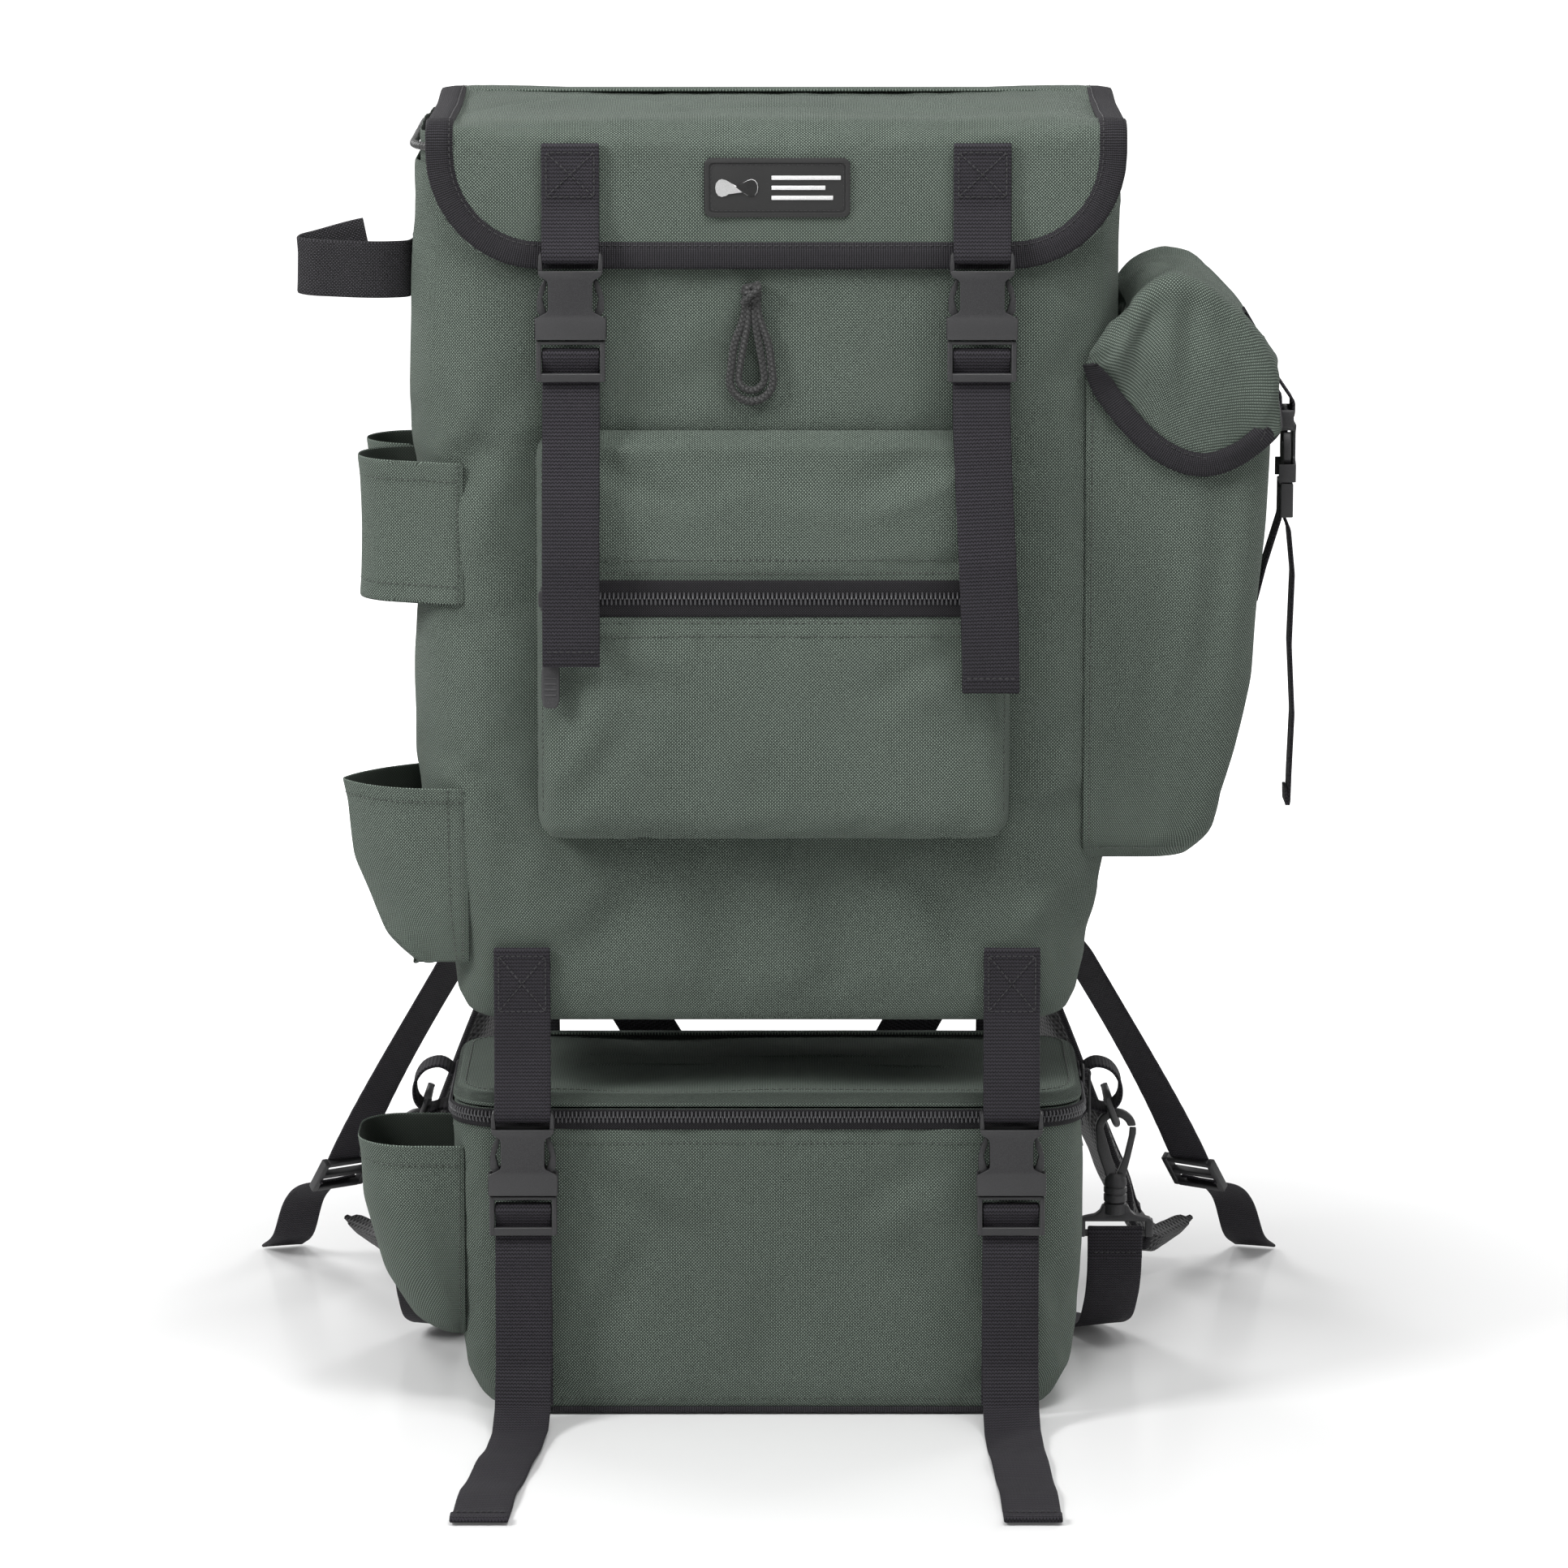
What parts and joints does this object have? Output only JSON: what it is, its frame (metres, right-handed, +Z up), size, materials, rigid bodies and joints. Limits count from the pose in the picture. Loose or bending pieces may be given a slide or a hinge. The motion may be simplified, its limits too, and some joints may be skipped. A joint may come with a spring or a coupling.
{
  "type": "tackle backpack",
  "caption": "Olive fabric tackle rucksack with buckled top flap, zipped front pocket, side pocket and rod holders, hung over a detachable zip-lid lower bag.",
  "frame": {"origin": "middle of the lower bag's flat base, on the floor", "axes": "+Z up, -Y towards the front with the buckled flap, +X towards the side with the flapped side pocket"},
  "size_m": [0.5962, 0.5838, 0.698],
  "materials": {
    "olive_fabric": "coarse plain weave, dull",
    "black_webbing": "ribbed webbing",
    "buckle_plastic": "fine moulded grain",
    "braided_cord": "braided",
    "padding": "air mesh over foam",
    "badge_rubber": "satin moulded rubber"
  },
  "bodies": {
    "lower_bag": {"lower_shell": "olive_fabric", "lower_zip": "black_webbing", "lower_webbing_front_left": "black_webbing", "lower_webbing_front_right": "black_webbing", "lower_webbings_rear": "black_webbing", "lower_males_front": "buckle_plastic", "lower_males_rear": "buckle_plastic", "lower_side_pocket": "olive_fabric", "carry_loops": "black_webbing", "carry_rings": "buckle_plastic", "hook_bases": "buckle_plastic", "carry_strap": "black_webbing"},
    "lower_lid": {"lower_lid": "olive_fabric"},
    "lower_zip_slider": {"lower_zip_slider": "buckle_plastic"},
    "hook_left": {"hook_left": "buckle_plastic"},
    "hook_right": {"hook_right": "buckle_plastic"},
    "rucksack": {"main_shell": "olive_fabric", "drawcord_collar": "olive_fabric", "drawcord": "braided_cord", "back_pad": "padding", "grab_handle": "black_webbing", "shoulder_strap_left": "padding", "shoulder_strap_right": "padding", "ladder_locks": "buckle_plastic", "shoulder_webbing_left": "black_webbing", "shoulder_webbing_right": "black_webbing", "hip_webbing_left": "black_webbing", "hip_webbing_right": "black_webbing", "hip_buckle": "buckle_plastic", "front_pocket": "olive_fabric", "front_pocket_zip": "black_webbing", "flap_webbing_left": "black_webbing", "flap_webbing_right": "black_webbing", "flap_male_left": "buckle_plastic", "flap_male_right": "buckle_plastic", "side_pocket": "olive_fabric", "side_webbing": "black_webbing", "side_male": "buckle_plastic", "rod_strap": "black_webbing", "rod_sleeve": "olive_fabric", "rod_pocket": "olive_fabric", "hanger_strap_front_left": "black_webbing", "hanger_strap_front_right": "black_webbing", "hanger_straps_rear": "black_webbing", "hanger_females_front": "buckle_plastic", "hanger_females_rear": "buckle_plastic"},
    "drawcord_loop": {"drawcord_loop": "braided_cord"},
    "top_flap": {"top_flap": "olive_fabric", "flap_binding": "black_webbing", "badge": "badge_rubber", "flap_strap_left": "black_webbing", "flap_strap_right": "black_webbing", "flap_female_left": "buckle_plastic", "flap_female_right": "buckle_plastic"},
    "pocket_slider": {"pocket_slider": "buckle_plastic"},
    "pocket_pull": {"pocket_pull": "braided_cord"},
    "side_flap": {"side_flap": "olive_fabric", "side_flap_strap": "black_webbing", "side_female": "buckle_plastic"}
  },
  "joints": [
    {"name": "lift_off", "type": "slide", "parent": "lower_bag", "child": "rucksack", "axis": [0, 0, 1], "range_m": [0, 0.2]},
    {"name": "lid_hinge", "type": "hinge", "parent": "lower_bag", "child": "lower_lid", "pos_m": [0, 0.066, 0.178], "axis": [-1, 0, 0], "range_deg": [0, 75]},
    {"name": "lower_zip_slide", "type": "slide", "parent": "lower_bag", "child": "lower_zip_slider", "axis": [0, -1, 0], "range_m": [0, 0.04]},
    {"name": "flap_hinge", "type": "hinge", "parent": "rucksack", "child": "top_flap", "pos_m": [0.005, 0.09, 0.6945], "axis": [-1, 0, 0], "range_deg": [0, 100]},
    {"name": "side_flap_hinge", "type": "hinge", "parent": "rucksack", "child": "side_flap", "pos_m": [0.1885, -0.012, 0.6], "axis": [0, -1, 0], "range_deg": [0, 42]},
    {"name": "pocket_zip_slide", "type": "slide", "parent": "rucksack", "child": "pocket_slider", "axis": [1, 0, 0], "range_m": [0, 0.226]},
    {"name": "pocket_pull_swing", "type": "hinge", "parent": "pocket_slider", "child": "pocket_pull", "pos_m": [-0.113, -0.1084, 0.4485], "axis": [0, -0.9981, 0.0615], "range_deg": [-75, 75]},
    {"name": "hook_left_swivel", "type": "hinge", "parent": "lower_bag", "child": "hook_left", "pos_m": [-0.1915, 0.03, 0.095], "axis": [0, 0, 1], "range_deg": [-40, 40]},
    {"name": "hook_right_swivel", "type": "hinge", "parent": "lower_bag", "child": "hook_right", "pos_m": [0.1915, 0.03, 0.095], "axis": [0, 0, 1], "range_deg": [-40, 40]},
    {"name": "drawcord_swing", "type": "hinge", "parent": "rucksack", "child": "drawcord_loop", "pos_m": [-0.008, -0.0905, 0.6185], "axis": [-1, 0, 0], "range_deg": [0, 32]}
  ],
  "couplings": [
    {"joint": "lid_hinge", "follows": "lift_off", "rad_per_m": 6.5},
    {"joint": "lower_zip_slide", "follows": "lift_off", "ratio": 0.2}
  ]
}
